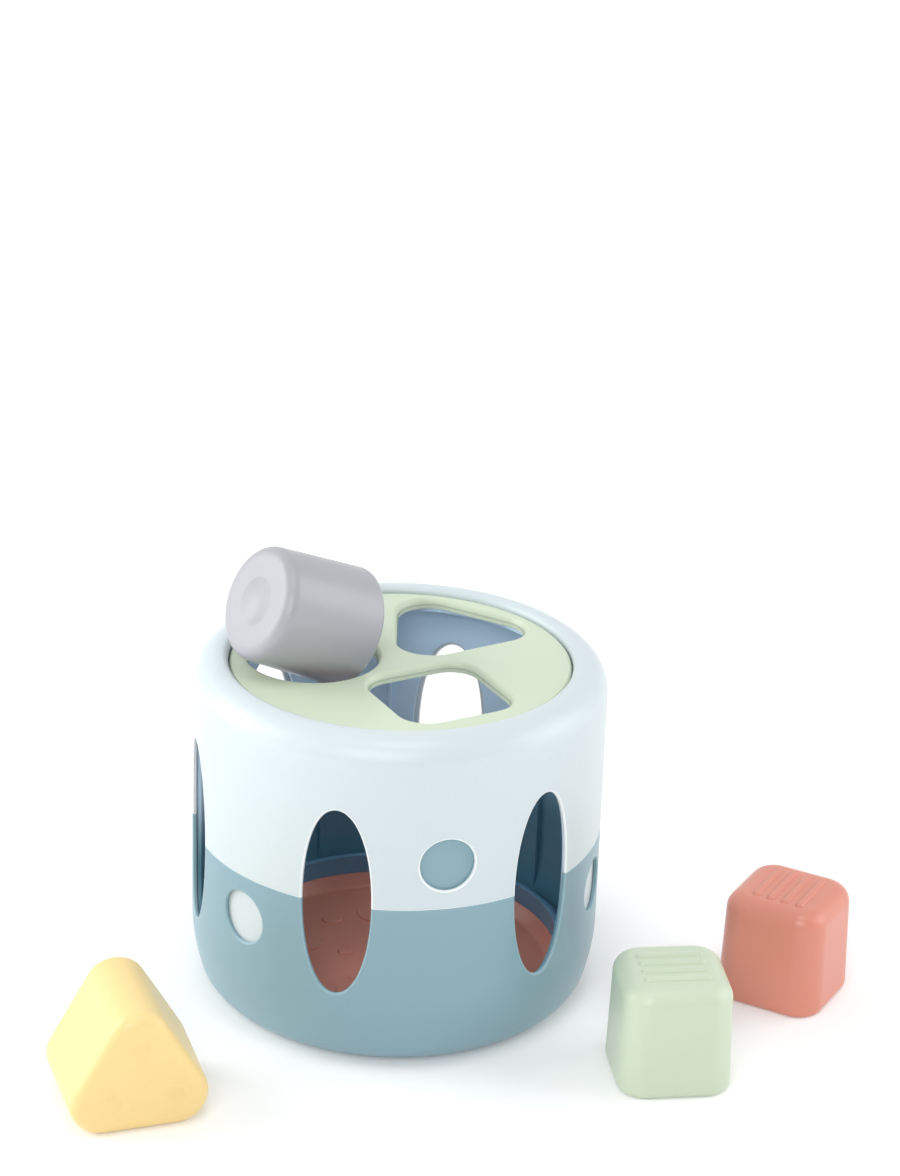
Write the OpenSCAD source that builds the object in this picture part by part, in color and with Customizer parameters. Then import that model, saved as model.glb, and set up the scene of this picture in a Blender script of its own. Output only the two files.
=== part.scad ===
// Shape sorter: a round two-tone bucket with oval windows, a lift-off lid with three
// shaped holes, and four hollow blocks. The sorter stands on z = 0 with its axis on Z.

/* [Sorter body] */
// Outer diameter of the body
body_d = 156; // [150:1:162]
// Height from the table to the top of the rim
body_h = 134.5; // [130:0.5:140]
// Height of the seam between the lower and the upper shell
seam_z = 68.1; // [64:0.1:72]
// Wall thickness of the two outer shells
shell_t = 1.7; // [1.5:0.1:2]
// Wall thickness of the inner sleeve
sleeve_t = 1.8; // [1.6:0.1:2.2]
// Radius of the shoulder at the top
shoulder_r = 11; // [9:0.5:13]
// Radius of the foot's corner
foot_r = 13; // [11:0.5:15]
// Radius of the long curve above the foot
flank_r = 80; // [70:1:90]
// Radius at which the flat underside ends
foot_x = 62.5; // [61:0.5:64]

/* [Windows and dots] */
// Direction of the first window, turned from the front towards +X
window_turn = -15.9; // [-20:0.1:-10]
// Half width of a window
window_w = 13.3; // [12:0.1:14]
// Half height of a window
window_h = 37.3; // [35:0.1:38]
// Height of the windows' centres
window_z = 68.9; // [68:0.1:70]
// Radius of the round holes that show the dots
dot_r = 10.3; // [9:0.1:11]
// Height of the dots in the upper shell
upper_dot_z = 85.8; // [84:0.1:90]
// Height of the dots in the lower shell
lower_dot_z = 51; // [48:0.1:52]

/* [Lid] */
// Radius of the opening that the lid drops into
rim_x = 64.7; // [64:0.1:65]
// Radius of the lid
lid_r = 64.2; // [63:0.1:64.2]
// Height of the lid's top face
lid_z = 132.3; // [132:0.1:133]
// Depth of the lid at its rim and at the edges of its holes
lid_depth = 4; // [3.5:0.1:4.5]
// Thickness of the lid's plate
lid_t = 2.4; // [2:0.1:3]
// Radius of the round hole
round_hole_r = 24.3; // [24.3:0.1:25]
// Half width of the square hole
square_hole_w = 22; // [21.8:0.1:22.5]
// Side of the triangular hole, measured between its sharp corners
triangle_hole_s = 70.5; // [69.5:0.1:71.5]

/* [Blocks] */
// Height of the square blocks
square_block_h = 43.4; // [40:0.1:45]
// Half width of a square block at its base
square_block_w = 21.3; // [20:0.1:21.4]
// Height of the round block
round_block_h = 44; // [43:0.1:44]
// Radius of the round block at its base
round_block_r = 23; // [22:0.1:23]
// Length of the triangular block
triangle_block_h = 45; // [42:0.1:46]
// Side of the triangular block at its base, measured between its sharp corners
triangle_block_s = 68.8; // [66:0.1:69]
// Wall thickness of the blocks
block_t = 2; // [1.6:0.1:2.4]

/* [Hidden] */
$fn = 96;

body_r = body_d / 2;
gap = 0.05;                              // between pieces pressed together
shoulder_x = body_r - shoulder_r;
shoulder_z = body_h - shoulder_r;
flank_x = body_r - flank_r;
// the foot's corner touches the flank's curve from inside
flank_z = foot_r + sqrt(pow(flank_r - foot_r, 2) - pow(foot_x - flank_x, 2));
flank_slope = (flank_z - foot_r) / (foot_x - flank_x);
sleeve_in = shell_t + gap;               // depth of the sleeve's outside below the body's
cavity_in = sleeve_in + sleeve_t;        // depth of the sleeve's inside below the body's

ledge_z = lid_z - lid_depth - gap;       // top of the ledge that carries the lid
ledge_t = 1.85;
ledge_x = 60.5;                          // inner radius of the ledge
lip_t = 1.7;
rim_r = 2.3;                             // rounding of the rim's inner edge

base_hole_r = 57;                        // opening in the lower shell's flange
ring_z = 16.8;                           // top of the floor ring's collar
shelf_z = 11;                            // top of the floor ring's shelf
collar_x = 63.7;                         // inner radius of the floor ring's collar
collar_t = 2.3;
shelf_t = 1.8;
plate_z = 3.6;                           // top of the flat floor
plate_x = 60.3;                          // radius of the flat floor
plate_rim_z = 8.8;                       // top of the floor's raised edge
plate_r = 64.6;

rib_w = 1.4;
rib_h = 2.2;
blue_rib_turn = 4.5;                     // ribs beside an upper dot
white_rib_turn = 10.9;                   // ribs beside a lower dot
insert_r = dot_r + 2.2;                  // radius of a dot's insert
insert_t = 0.8;

hole_corner_r = 10.5;
triangle_corner_r = 12.5;
collar_wall = 1.6;
round_hole = [33.2, 175];                // distance from the axis, and direction
square_hole = [31, -62];
triangle_hole = [37.6, 60];

// Outlines

// Half section of the body as a solid, with every face moved in by d
module body_section(d) {
    translate([0, flank_z]) square([body_r - d, shoulder_z - flank_z]);
    translate([0, d]) square([foot_x, flank_z]);
    translate([foot_x, foot_r]) circle(foot_r - d);
    intersection() {
        translate([flank_x, flank_z]) circle(flank_r - d, $fn = 360);
        polygon([
            [0, flank_z], [0, flank_z + flank_x * flank_slope],
            [2 * body_r, flank_z - (2 * body_r - flank_x) * flank_slope], [2 * body_r, flank_z]
        ]);
    }
    translate([shoulder_x, shoulder_z]) circle(shoulder_r - d);
    translate([0, shoulder_z]) square([shoulder_x, shoulder_r - d]);
}

// Oval of four arcs, with half width w and half height h
module oval(w, h) {
    tip_r = 0.56 * w;
    side_r = (w * w + pow(h - tip_r, 2) - tip_r * tip_r) / (2 * (w - tip_r));
    tip_z = h - tip_r;
    // the arcs meet where a line through both centres leaves the tip's circle
    reach = tip_r / (side_r - tip_r);
    meet = [(side_r - w) * reach, tip_z + tip_z * reach];
    for (s = [-1, 1]) translate([0, s * tip_z]) circle(tip_r);
    intersection() {
        translate([w - side_r, 0]) circle(side_r, $fn = 360);
        translate([side_r - w, 0]) circle(side_r, $fn = 360);
        square([3 * w, 2 * meet[1]], center = true);
    }
}

// Square with round corners, half width w and corner radius r
module round_square(w, r) {
    square([2 * w, 2 * (w - r)], center = true);
    square([2 * (w - r), 2 * w], center = true);
    for (x = [-1, 1], y = [-1, 1]) translate([x * (w - r), y * (w - r)]) circle(r);
}

function turn(a, d) = [d * cos(a), d * sin(a)];

// Triangle with round corners and one side towards -Y; s is the side between sharp corners
module round_triangle(s, r) {
    corner = s / sqrt(3) - 2 * r;
    for (a = [90, 210, 330]) translate(turn(a, corner)) circle(r);
    polygon([for (a = [90, 210, 330], n = [-60, 60]) turn(a, corner) + turn(a + n, r)]);
}

// Places a shape drawn in X and Z on the wall, pointing outwards in direction a
module facing(a, z, start) {
    rotate([0, 0, a]) translate([0, -start, z]) rotate([90, 0, 0]) children();
}

module window_cuts() {
    for (i = [0:5]) facing(window_turn + 60 * i, window_z, 60)
        linear_extrude(30) oval(window_w, window_h);
}

module radial_disc(a, z, r, from, to) {
    intersection() {
        facing(a, z, 60) cylinder(r = r, h = 30);
        difference() {
            cylinder(r = to, h = body_h);
            translate([0, 0, -1]) cylinder(r = from, h = body_h + 2);
        }
    }
}

function upper_dot_turn(i) = window_turn + 30 + 120 * i;
function lower_dot_turn(i) = window_turn - 30 + 120 * i;

// Sorter body

module upper_shell() {
    color("aliceblue") difference() {
        rotate_extrude($fn = 180) {
            intersection() {
                difference() {
                    body_section(0);
                    body_section(shell_t);
                }
                translate([shoulder_x, seam_z]) square([body_r, body_h]);
            }
            translate([rim_x, ledge_z + gap]) square([lip_t, body_h - rim_r - ledge_z]);
            intersection() {
                translate([rim_x + rim_r, body_h - rim_r]) circle(rim_r);
                translate([rim_x, body_h - rim_r]) square(rim_r);
            }
        }
        window_cuts();
        for (i = [0:2]) facing(upper_dot_turn(i), upper_dot_z, 60) cylinder(r = dot_r, h = 30);
    }
}

module lower_shell() {
    color("cadetblue") difference() {
        rotate_extrude($fn = 180) intersection() {
            difference() {
                body_section(0);
                body_section(shell_t);
            }
            translate([base_hole_r, 0]) square([body_r, seam_z - gap]);
        }
        window_cuts();
        for (i = [0:2]) facing(lower_dot_turn(i), lower_dot_z, 60) cylinder(r = dot_r, h = 30);
    }
}

module cavity_section() {
    arc_r = 8.25;
    arc_x = body_r - cavity_in - arc_r;
    arc_z = ledge_z - ledge_t - arc_r;
    intersection() {
        body_section(cavity_in);
        square([body_r, arc_z]);
    }
    translate([arc_x, arc_z]) circle(arc_r);
    translate([0, arc_z]) square([arc_x, arc_r]);
}

module ribs() {
    foot = ring_z + gap;
    top = 114;
    reach = body_r - cavity_in;
    for (i = [0:2], s = [-1, 1])
        for (a = [upper_dot_turn(i) + s * blue_rib_turn, lower_dot_turn(i) + s * white_rib_turn])
            rotate([0, 0, a]) translate([-rib_w / 2, -reach - 0.3, foot])
                cube([rib_w, rib_h + 0.3, top - foot]);
}

module inner_sleeve() {
    color("steelblue") difference() {
        union() {
            rotate_extrude($fn = 180) difference() {
                union() {
                    intersection() {
                        body_section(sleeve_in);
                        union() {
                            translate([rim_x + lip_t + gap, shelf_z + gap])
                                square([body_r, body_h - rim_r - shelf_z - 2 * gap]);
                            translate([rim_x + rim_r + gap, shoulder_z]) square(body_r);
                        }
                    }
                    translate([ledge_x, ledge_z - ledge_t])
                        square([rim_x + lip_t + 1 - ledge_x, ledge_t]);
                }
                cavity_section();
            }
            ribs();
        }
        window_cuts();
        for (i = [0:2]) radial_disc(lower_dot_turn(i), lower_dot_z, insert_r + gap,
                                    body_r - sleeve_in - insert_t - gap, body_r);
    }
}

module white_dot(i) {
    color("white")
        radial_disc(lower_dot_turn(i), lower_dot_z, insert_r,
                    body_r - sleeve_in - insert_t, body_r - sleeve_in);
}

module floor_ring() {
    color("cadetblue") rotate_extrude($fn = 180) intersection() {
        body_section(sleeve_in);
        union() {
            translate([collar_x, plate_rim_z + gap])
                square([collar_t, ring_z - plate_rim_z - gap]);
            translate([plate_r + gap, 0]) square([collar_x + collar_t - plate_r, ring_z]);
            translate([collar_x, shelf_z - shelf_t]) square([body_r, shelf_t]);
        }
    }
}

// Raised round motifs on the floor: [count, radius of each, distance, direction]
motifs = [[6, 9.5, 39, 158], [6, 4, 40, 128], [6, 3, 19.5, 162], [1, 8, 0, 0]];

module floor_plate() {
    groove_z = 1.6;
    color("indianred") {
        difference() {
            rotate_extrude($fn = 180) intersection() {
                union() {
                    square([base_hole_r - gap, plate_z]);
                    intersection() {
                        body_section(sleeve_in);
                        square([plate_r, body_h]);
                    }
                }
                polygon([
                    [0, 0], [plate_r, 0], [plate_r, plate_rim_z], [collar_x - 0.2, plate_rim_z],
                    [plate_x, plate_z], [0, plate_z]
                ]);
            }
            translate([0, 0, -1]) difference() {
                cylinder(r = 52, h = 1 + groove_z);
                cylinder(r = 14, h = 1 + groove_z);
            }
        }
        for (m = motifs, i = [0:m[0] - 1]) rotate([0, 0, m[3] + i * 360 / m[0]])
            translate([m[2], 0, plate_z - 0.5]) cylinder(r = m[1], h = 1.2);
    }
}

// Lid

// Outlines of the three holes, each widened by w
module round_outline(w) translate(turn(round_hole[1], round_hole[0])) circle(round_hole_r + w);

module square_outline(w) translate(turn(square_hole[1], square_hole[0]))
    rotate(square_hole[1]) round_square(square_hole_w + w, hole_corner_r + w);

module triangle_outline(w) translate(turn(triangle_hole[1], triangle_hole[0]))
    rotate(triangle_hole[1] + 90)
        round_triangle(triangle_hole_s + 2 * sqrt(3) * w, triangle_corner_r + w);

module hole_outlines(w) {
    round_outline(w);
    square_outline(w);
    triangle_outline(w);
}

module lid() {
    edge_r = 1.2;
    skirt_t = 1.8;
    color("darkseagreen") difference() {
        union() {
            rotate_extrude($fn = 180) {
                translate([0, lid_z - lid_t]) square([lid_r - edge_r, lid_t]);
                translate([lid_r - edge_r, lid_z - edge_r]) circle(edge_r);
                translate([lid_r - skirt_t, lid_z - lid_depth])
                    square([skirt_t, lid_depth - edge_r]);
            }
            translate([0, 0, lid_z - lid_depth]) linear_extrude(lid_depth - 1)
                intersection() {
                    hole_outlines(collar_wall);
                    circle(lid_r - edge_r);
                }
        }
        translate([0, 0, lid_z - lid_depth - 1]) linear_extrude(lid_depth + 2) hole_outlines(0);
    }
}

// Blocks. Each is drawn standing on its base, the wide end, and then put in its place.

// Ring of radius r that rounds an edge by e, as a corner of a hull
module corner_ring(r, e) {
    rotate_extrude($fn = 32) intersection() {
        translate([r - e, 0]) circle(e, $fn = 32);
        translate([0, -e]) square([r, 2 * e]);
    }
}

crown_r = 6.5;                           // rounding round a square block's top
foot_edge_r = 2.6;                       // rounding round a block's base
block_corner_r = 10.5;
square_draft = 1;                        // how much a square block narrows on each side
plug_t = 2;
plug_in = 0.3;                           // how far a plug sits inside its block

module square_form(d) {
    w = square_block_w - d;
    hull() for (x = [-1, 1], y = [-1, 1]) {
        base = w - block_corner_r + d;
        top = base - square_draft;
        translate([x * base, y * base, foot_edge_r])
            corner_ring(block_corner_r - d, max(foot_edge_r - d, 0.5));
        translate([x * top, y * top, square_block_h - crown_r])
            corner_ring(block_corner_r - d, crown_r - d);
    }
}

// Opening in the base of a square block, narrower by w for the plug that fills it
module square_mouth(w) round_square(square_block_w - 3.4 - w, block_corner_r - 3.4 - w);

module ridges() {
    ridge_r = 1.9;
    ridge_x = 11;
    pitch = 5.9;
    proud = 1.1;
    for (i = [-1.5:1.5]) translate([0, i * pitch, square_block_h - ridge_r + proud]) {
        rotate([0, 90, 0]) cylinder(r = ridge_r, h = 2 * ridge_x, center = true, $fn = 32);
        for (s = [-1, 1]) translate([s * ridge_x, 0, 0]) sphere(ridge_r, $fn = 32);
    }
}

module square_block() {
    difference() {
        union() {
            square_form(0);
            ridges();
        }
        difference() {
            square_form(block_t);
            translate([-50, -50, -1]) cube([100, 100, 1 + plug_in + plug_t]);
        }
        translate([0, 0, -1]) linear_extrude(2 + plug_in + plug_t) square_mouth(0);
    }
}

module square_plug() {
    translate([0, 0, plug_in]) linear_extrude(plug_t) square_mouth(gap);
}

round_draft = 1.2;                       // how much the round block narrows in radius
round_crown_r = 5;

module round_section(d) {
    slope = atan(round_draft / round_block_h);
    intersection() {
        polygon([
            [0, d], [round_block_r - d / cos(slope), d],
            [round_block_r - round_draft - d / cos(slope), round_block_h - d],
            [0, round_block_h - d]
        ]);
        union() {
            square([round_block_r - round_crown_r - round_draft, round_block_h]);
            square([round_block_r, round_block_h - round_crown_r]);
            translate([round_block_r - round_crown_r - round_draft * 0.93,
                       round_block_h - round_crown_r]) circle(round_crown_r - d);
        }
        union() {
            square([round_block_r - foot_edge_r, round_block_h]);
            translate([0, foot_edge_r]) square([round_block_r, round_block_h]);
            translate([round_block_r - foot_edge_r, foot_edge_r]) circle(foot_edge_r);
        }
    }
}

module round_block_upright() {
    dish_r = 9.6;
    dish_d = 1.6;
    dish_sphere = (dish_r * dish_r + dish_d * dish_d) / (2 * dish_d);
    mouth = round_block_r - 3.4;
    difference() {
        rotate_extrude($fn = 120) round_section(0);
        difference() {
            rotate_extrude($fn = 120) round_section(block_t);
            translate([0, 0, -1]) cylinder(r = 50, h = 1 + plug_in + plug_t);
            translate([0, 0, round_block_h + dish_sphere - dish_d])
                sphere(dish_sphere + block_t, $fn = 120);
        }
        translate([0, 0, -1]) cylinder(r = mouth, h = 2 + plug_in + plug_t);
        translate([0, 0, round_block_h + dish_sphere - dish_d]) sphere(dish_sphere, $fn = 120);
    }
}

module round_plug() {
    translate([0, 0, plug_in]) cylinder(r = round_block_r - 3.4 - gap, h = plug_t);
}

triangle_draft = 1.3;                    // how much the triangle's side shortens
triangle_block_corner_r = 11.7;
triangle_crown_r = 5;

module triangle_form(d) {
    r = triangle_block_corner_r - d;
    base = triangle_block_s / sqrt(3) - 2 * triangle_block_corner_r;
    top = base - triangle_draft / sqrt(3);
    hull() for (a = [90, 210, 330]) {
        translate([each turn(a, base), foot_edge_r]) corner_ring(r, max(foot_edge_r - d, 0.5));
        translate([each turn(a, top), triangle_block_h - triangle_crown_r])
            corner_ring(r, triangle_crown_r - d);
    }
}

module triangle_mouth(w) {
    round_triangle(triangle_block_s - 2 * sqrt(3) * (3.4 + w), triangle_block_corner_r - 3.4 - w);
}

module triangle_block_upright() {
    dish_r = 4.5;
    dish_d = 0.8;
    dish_sphere = (dish_r * dish_r + dish_d * dish_d) / (2 * dish_d);
    dish_x = 13.2;
    difference() {
        triangle_form(0);
        difference() {
            triangle_form(block_t);
            translate([-50, -50, -1]) cube([100, 100, 1 + plug_in + plug_t]);
        }
        translate([0, 0, -1]) linear_extrude(2 + plug_in + plug_t) triangle_mouth(0);
        for (a = [90, 210, 330])
            translate([each turn(a, dish_x), triangle_block_h + dish_sphere - dish_d])
                sphere(dish_sphere, $fn = 64);
    }
}

module triangle_plug() {
    translate([0, 0, plug_in]) linear_extrude(plug_t) triangle_mouth(gap);
}

// Places of the blocks

// The round block leans in the lid's round hole, its base dipping through the plate
module lean_in_hole() {
    translate([-19.95, 7.6, 141.75]) rotate([0, 65.4, 210.9]) children();
}

// The triangular block lies on one side, with its narrow end towards the front
module lie_on_side() {
    in_base = triangle_block_s / (2 * sqrt(3));
    tilt = atan(triangle_draft / (2 * sqrt(3))
                / (triangle_block_h - foot_edge_r - triangle_crown_r));
    // height of the axis at the base, with the whole side on the table
    lift = (in_base + foot_edge_r * tan(tilt)) * cos(tilt);
    translate([-101.1, -79, lift]) rotate([0, 0, 18]) rotate([90 + tilt, 0, 0]) children();
}

module stand_beside() translate([102.9, -69.8, 0]) rotate([0, 0, 7]) children();

module stand_behind() translate([151.8, -6.3, 0]) rotate([0, 0, 61]) children();

module round_block() color("thistle") lean_in_hole() round_block_upright();

module round_block_cap() color("thistle") lean_in_hole() round_plug();

module triangle_block() color("khaki") lie_on_side() triangle_block_upright();

module triangle_block_cap() color("khaki") lie_on_side() triangle_plug();

module green_block() color("darkseagreen") stand_beside() square_block();

module green_block_cap() color("darkseagreen") stand_beside() square_plug();

module red_block() color("darksalmon") stand_behind() square_block();

module red_block_cap() color("darksalmon") stand_behind() square_plug();

upper_shell();
lower_shell();
inner_sleeve();
white_dot(0);  // white_dot_1
white_dot(1);  // white_dot_2
white_dot(2);  // white_dot_3
floor_ring();
floor_plate();
lid();
round_block();
round_block_cap();
triangle_block();
triangle_block_cap();
green_block();
green_block_cap();
red_block();
red_block_cap();
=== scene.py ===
# %% [markdown]
# # A shape sorter, piece by piece
#
# The toy is a round two-tone bucket with oval windows, a lid with three shaped holes, and four
# hollow blocks that drop through them. Every piece is injection-moulded plastic, so the whole
# lesson is about one craft: smooth walls of even thickness, small roundings where a steel mould
# meets itself, and a satin skin. The working model gives each piece its size and place. Here each
# one gets the surface that a hand and an eye would meet.

import math

import bpy
from mathutils import Matrix, Vector


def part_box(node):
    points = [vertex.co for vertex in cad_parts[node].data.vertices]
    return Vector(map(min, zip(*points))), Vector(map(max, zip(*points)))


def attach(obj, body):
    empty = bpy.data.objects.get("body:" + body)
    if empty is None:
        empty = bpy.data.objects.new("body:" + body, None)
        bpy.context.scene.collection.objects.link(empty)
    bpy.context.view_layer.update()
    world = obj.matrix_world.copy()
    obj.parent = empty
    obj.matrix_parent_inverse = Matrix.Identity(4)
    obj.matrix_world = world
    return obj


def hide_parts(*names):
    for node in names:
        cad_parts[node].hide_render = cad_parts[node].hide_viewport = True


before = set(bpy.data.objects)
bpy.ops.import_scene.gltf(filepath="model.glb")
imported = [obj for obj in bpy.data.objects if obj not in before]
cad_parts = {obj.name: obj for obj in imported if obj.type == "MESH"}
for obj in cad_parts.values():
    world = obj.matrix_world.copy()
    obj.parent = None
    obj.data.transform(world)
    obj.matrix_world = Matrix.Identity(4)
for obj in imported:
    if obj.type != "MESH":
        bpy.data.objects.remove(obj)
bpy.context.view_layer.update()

# %% [markdown]
# ## Units and driving sizes
#
# Blender works in metres and a toy designer thinks in millimetres, so one constant turns one into
# the other. The sizes that pieces share, such as the radius of the body or the height of the seam,
# are read from the frame's boxes, so that this file can't drift away from the working model.

# %% Driving sizes
MM = 0.001
FULL_TURN = 2 * math.pi
# Two places closer than this count as one.
HAIR = 0.01 * MM

upper_low, upper_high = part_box("upper_shell")
lid_low, lid_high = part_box("lid")
BODY_R = round(upper_high.x, 4)
BODY_H = round(upper_high.z, 4)
SEAM_Z = round(upper_low.z, 4)
LID_R = round(lid_high.x, 4)
LID_Z = round(lid_high.z, 4)
print("body radius", BODY_R, "height", BODY_H, "seam", SEAM_Z, "lid", LID_R, LID_Z)

# %% [markdown]
# ## Working by hand, in code
#
# Blender's operators act on whatever is selected. These helpers do what a modeller does with the
# mouse: clear the selection, pick one object, choose some of its points, edges or faces by where
# they are, and apply a modifier. The file uses them for every piece.

# %% Picking and choosing
def pick(*objects):
    """Selects only these objects, in object mode, and makes the first one active."""
    if bpy.context.mode != "OBJECT":
        bpy.ops.object.mode_set(mode="OBJECT")
    bpy.ops.object.select_all(action="DESELECT")
    for obj in objects:
        obj.select_set(True)
    bpy.context.view_layer.objects.active = objects[0]


def choose(obj, kind, wanted):
    """Opens obj in edit mode with only the parts selected that wanted(centre, part) accepts."""
    pick(obj)
    bpy.ops.object.mode_set(mode="EDIT")
    bpy.ops.mesh.select_mode(type=kind)
    bpy.ops.mesh.select_all(action="DESELECT")
    bpy.ops.object.mode_set(mode="OBJECT")
    mesh = obj.data
    points = mesh.vertices
    if kind == "VERT":
        for vertex in points:
            vertex.select = wanted(vertex.co, vertex)
    elif kind == "EDGE":
        for edge in mesh.edges:
            first, last = (points[i].co for i in edge.vertices)
            edge.select = wanted((first + last) / 2, (first, last))
    else:
        for face in mesh.polygons:
            face.select = wanted(face.center, face.normal)
    bpy.ops.object.mode_set(mode="EDIT")


def edit(obj, kind, wanted, operator, **settings):
    """Runs one operator on the parts that wanted() accepts and goes back to object mode."""
    choose(obj, kind, wanted)
    operator(**settings)
    bpy.ops.object.mode_set(mode="OBJECT")


def everything(centre, part):
    return True


def apply_modifier(obj, kind, **settings):
    """Adds one modifier, sets it up and applies it at once."""
    pick(obj)
    modifier = obj.modifiers.new(kind.title(), kind)
    for name, value in settings.items():
        setattr(modifier, name, value)
    bpy.ops.object.modifier_apply(modifier=modifier.name)


def tidy_mesh(obj):
    """Merges points that lie on each other and turns every face outwards."""
    choose(obj, "VERT", everything)
    bpy.ops.mesh.remove_doubles(threshold=0.002 * MM)
    bpy.ops.mesh.delete_loose()
    bpy.ops.mesh.select_all(action="SELECT")
    bpy.ops.mesh.normals_make_consistent(inside=False)
    bpy.ops.object.mode_set(mode="OBJECT")


def join(main, *others):
    """Makes one object of several, under the first one's name."""
    pick(main, *others)
    bpy.ops.object.join()
    return main


# %% [markdown]
# A moulded piece is smooth to the eye, but its mesh is made of flat faces. Smooth shading hides
# the joints between faces that meet at a small angle. On its own it also bends the light over the
# flat areas beside each rounding, so a weighted-normal modifier lets the large faces win.

# %% Shading and handing over
def shade(obj, angle=40):
    """Smooth shading that keeps flat areas flat."""
    pick(obj)
    bpy.ops.object.shade_smooth_by_angle(angle=math.radians(angle))
    apply_modifier(obj, "WEIGHTED_NORMAL", mode="FACE_AREA", weight=50, keep_sharp=True)


def hand_over(obj, body, node, material=None):
    """Gives a finished piece its body and its material unless it already wears one, and hides the
    frame node's part that it stands for."""
    pick(obj)
    bpy.ops.object.transform_apply(location=True, rotation=True, scale=True)
    if material:
        obj.data.materials.clear()
        obj.data.materials.append(material)
    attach(obj, body)
    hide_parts(node)
    print(obj.name, "faces", len(obj.data.polygons), "size mm",
          [round(side / MM, 1) for side in obj.dimensions])


# %% [markdown]
# ## The camera and the studio
#
# A toy catalogue shows its object from a little above, with a long lens, on a white sweep. The
# camera looks down at about 23 degrees from a bit over a metre away. Its direction is built from
# three turns: to the side, downwards, and a slight roll.

# %% Camera
CAMERA_PLACE = Vector((0, -1.0906, 0.6232))
CAMERA_SIDE_TURN = 0.016
CAMERA_DOWN_TURN = 0.400
CAMERA_ROLL = -0.034

bpy.ops.object.camera_add(location=CAMERA_PLACE)
camera = bpy.context.object
camera.data.lens = 97.6
camera.data.clip_start = 0.05
camera.rotation_euler = (
    Matrix.Rotation(-CAMERA_SIDE_TURN, 3, "Z")
    @ Matrix.Rotation(math.radians(90) - CAMERA_DOWN_TURN, 3, "X")
    @ Matrix.Rotation(-CAMERA_ROLL, 3, "Z")
).to_euler()
bpy.context.scene.camera = camera
print("camera looks along", [round(c, 3) for c in camera.rotation_euler])

# %% [markdown]
# White plastic on a white floor only reads because the light is soft and comes from all around.
# The sky is white and dimmer behind the camera, so that the front of each block is a little darker
# than its top. Large soft boxes stand on both sides and in front, and a small one hangs overhead.
# The floor glows faintly, more so further out: it stays white up to the edge of the picture, and
# the shadows under the pieces still show.

# %% Floor and light
SKY_FRONT = 0.2
SKY_BACK = 0.9
GLOW_START = 0.1
GLOW_END = 1.6
GLOW_NEAR = 0.14
GLOW_FAR = 0.6


def ramp(tree, value, low, high, start=0.0, end=1.0):
    """A Map Range node that turns values from low to high into values from start to end."""
    node = tree.nodes.new("ShaderNodeMapRange")
    numbers = {"From Min": low, "From Max": high, "To Min": start, "To Max": end}
    for title, number in numbers.items():
        node.inputs[title].default_value = number
    tree.links.new(value, node.inputs["Value"])
    return node.outputs["Result"]


bpy.ops.mesh.primitive_plane_add(size=30)
floor = bpy.context.object
floor.name = "studio_floor"
floor_look = bpy.data.materials.new("studio_floor")
floor_look.use_nodes = True
floor_tree = floor_look.node_tree
floor_shader = floor_tree.nodes["Principled BSDF"]
floor_shader.inputs["Base Color"].default_value = (0.86, 0.86, 0.86, 1)
floor_shader.inputs["Roughness"].default_value = 0.9
floor_shader.inputs["Specular IOR Level"].default_value = 0.1
floor_shader.inputs["Emission Strength"].default_value = 1
floor_spot = floor_tree.nodes.new("ShaderNodeTexCoord")
floor_reach = floor_tree.nodes.new("ShaderNodeVectorMath")
floor_reach.operation = "LENGTH"
floor_tree.links.new(floor_spot.outputs["Object"], floor_reach.inputs[0])
glow = ramp(floor_tree, floor_reach.outputs["Value"], GLOW_START, GLOW_END, GLOW_NEAR, GLOW_FAR)
floor_tree.links.new(glow, floor_shader.inputs["Emission Color"])
floor.data.materials.append(floor_look)

world = bpy.data.worlds.new("studio")
bpy.context.scene.world = world
world.use_nodes = True
sky = world.node_tree
background = sky.nodes["Background"]
background.inputs["Color"].default_value = (0.97, 0.99, 1, 1)
direction = sky.nodes.new("ShaderNodeTexCoord")
parts = sky.nodes.new("ShaderNodeSeparateXYZ")
sky.links.new(direction.outputs["Generated"], parts.inputs["Vector"])
strength = ramp(sky, parts.outputs["Y"], -1, 1, SKY_FRONT, SKY_BACK)
sky.links.new(strength, background.inputs["Strength"])


def soft_box(name, place, side, watts):
    """A square area light that faces the toy."""
    bpy.ops.object.light_add(type="AREA", location=place)
    lamp = bpy.context.object
    lamp.name = name
    lamp.data.size = side
    lamp.data.energy = watts
    aim = Vector((0, 0, 0.06)) - Vector(place)
    lamp.rotation_euler = aim.to_track_quat("-Z", "Y").to_euler()


soft_box("left_box", (-1.6, 0.2, 0.8), 1.3, 19)
soft_box("right_box", (1.6, 0.1, 0.8), 1.2, 11)
soft_box("front_box", (-0.3, -1.5, 1.2), 1.0, 13.5)
soft_box("top_box", (0.05, -0.35, 1.7), 0.5, 4)
bpy.context.scene.view_settings.view_transform = "Standard"
print("studio ready")

# %% [markdown]
# ## Moulded plastic
#
# All the pieces are the same kind of satin plastic in different colours, so the effects that they
# share are shader node groups. The first is the mould's skin: a fine grain that breaks up
# highlights, over a wide, shallow waviness such as walls have after they cool. It puts out a
# height for a bump node, and a roughness that varies a little with the grain.

# %% Grain group
def new_group(name, inputs, outputs):
    """A shader node group with named sockets, given as (name, kind, value)."""
    group = bpy.data.node_groups.new(name, "ShaderNodeTree")
    for title, kind, value in inputs:
        made = group.interface.new_socket(title, in_out="INPUT", socket_type=kind)
        made.default_value = value
    for title, kind in outputs:
        group.interface.new_socket(title, in_out="OUTPUT", socket_type=kind)
    return group, group.nodes.new("NodeGroupInput"), group.nodes.new("NodeGroupOutput")


def noise(tree, scale, detail):
    node = tree.nodes.new("ShaderNodeTexNoise")
    node.inputs["Scale"].default_value = scale
    node.inputs["Detail"].default_value = detail
    return node


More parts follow.
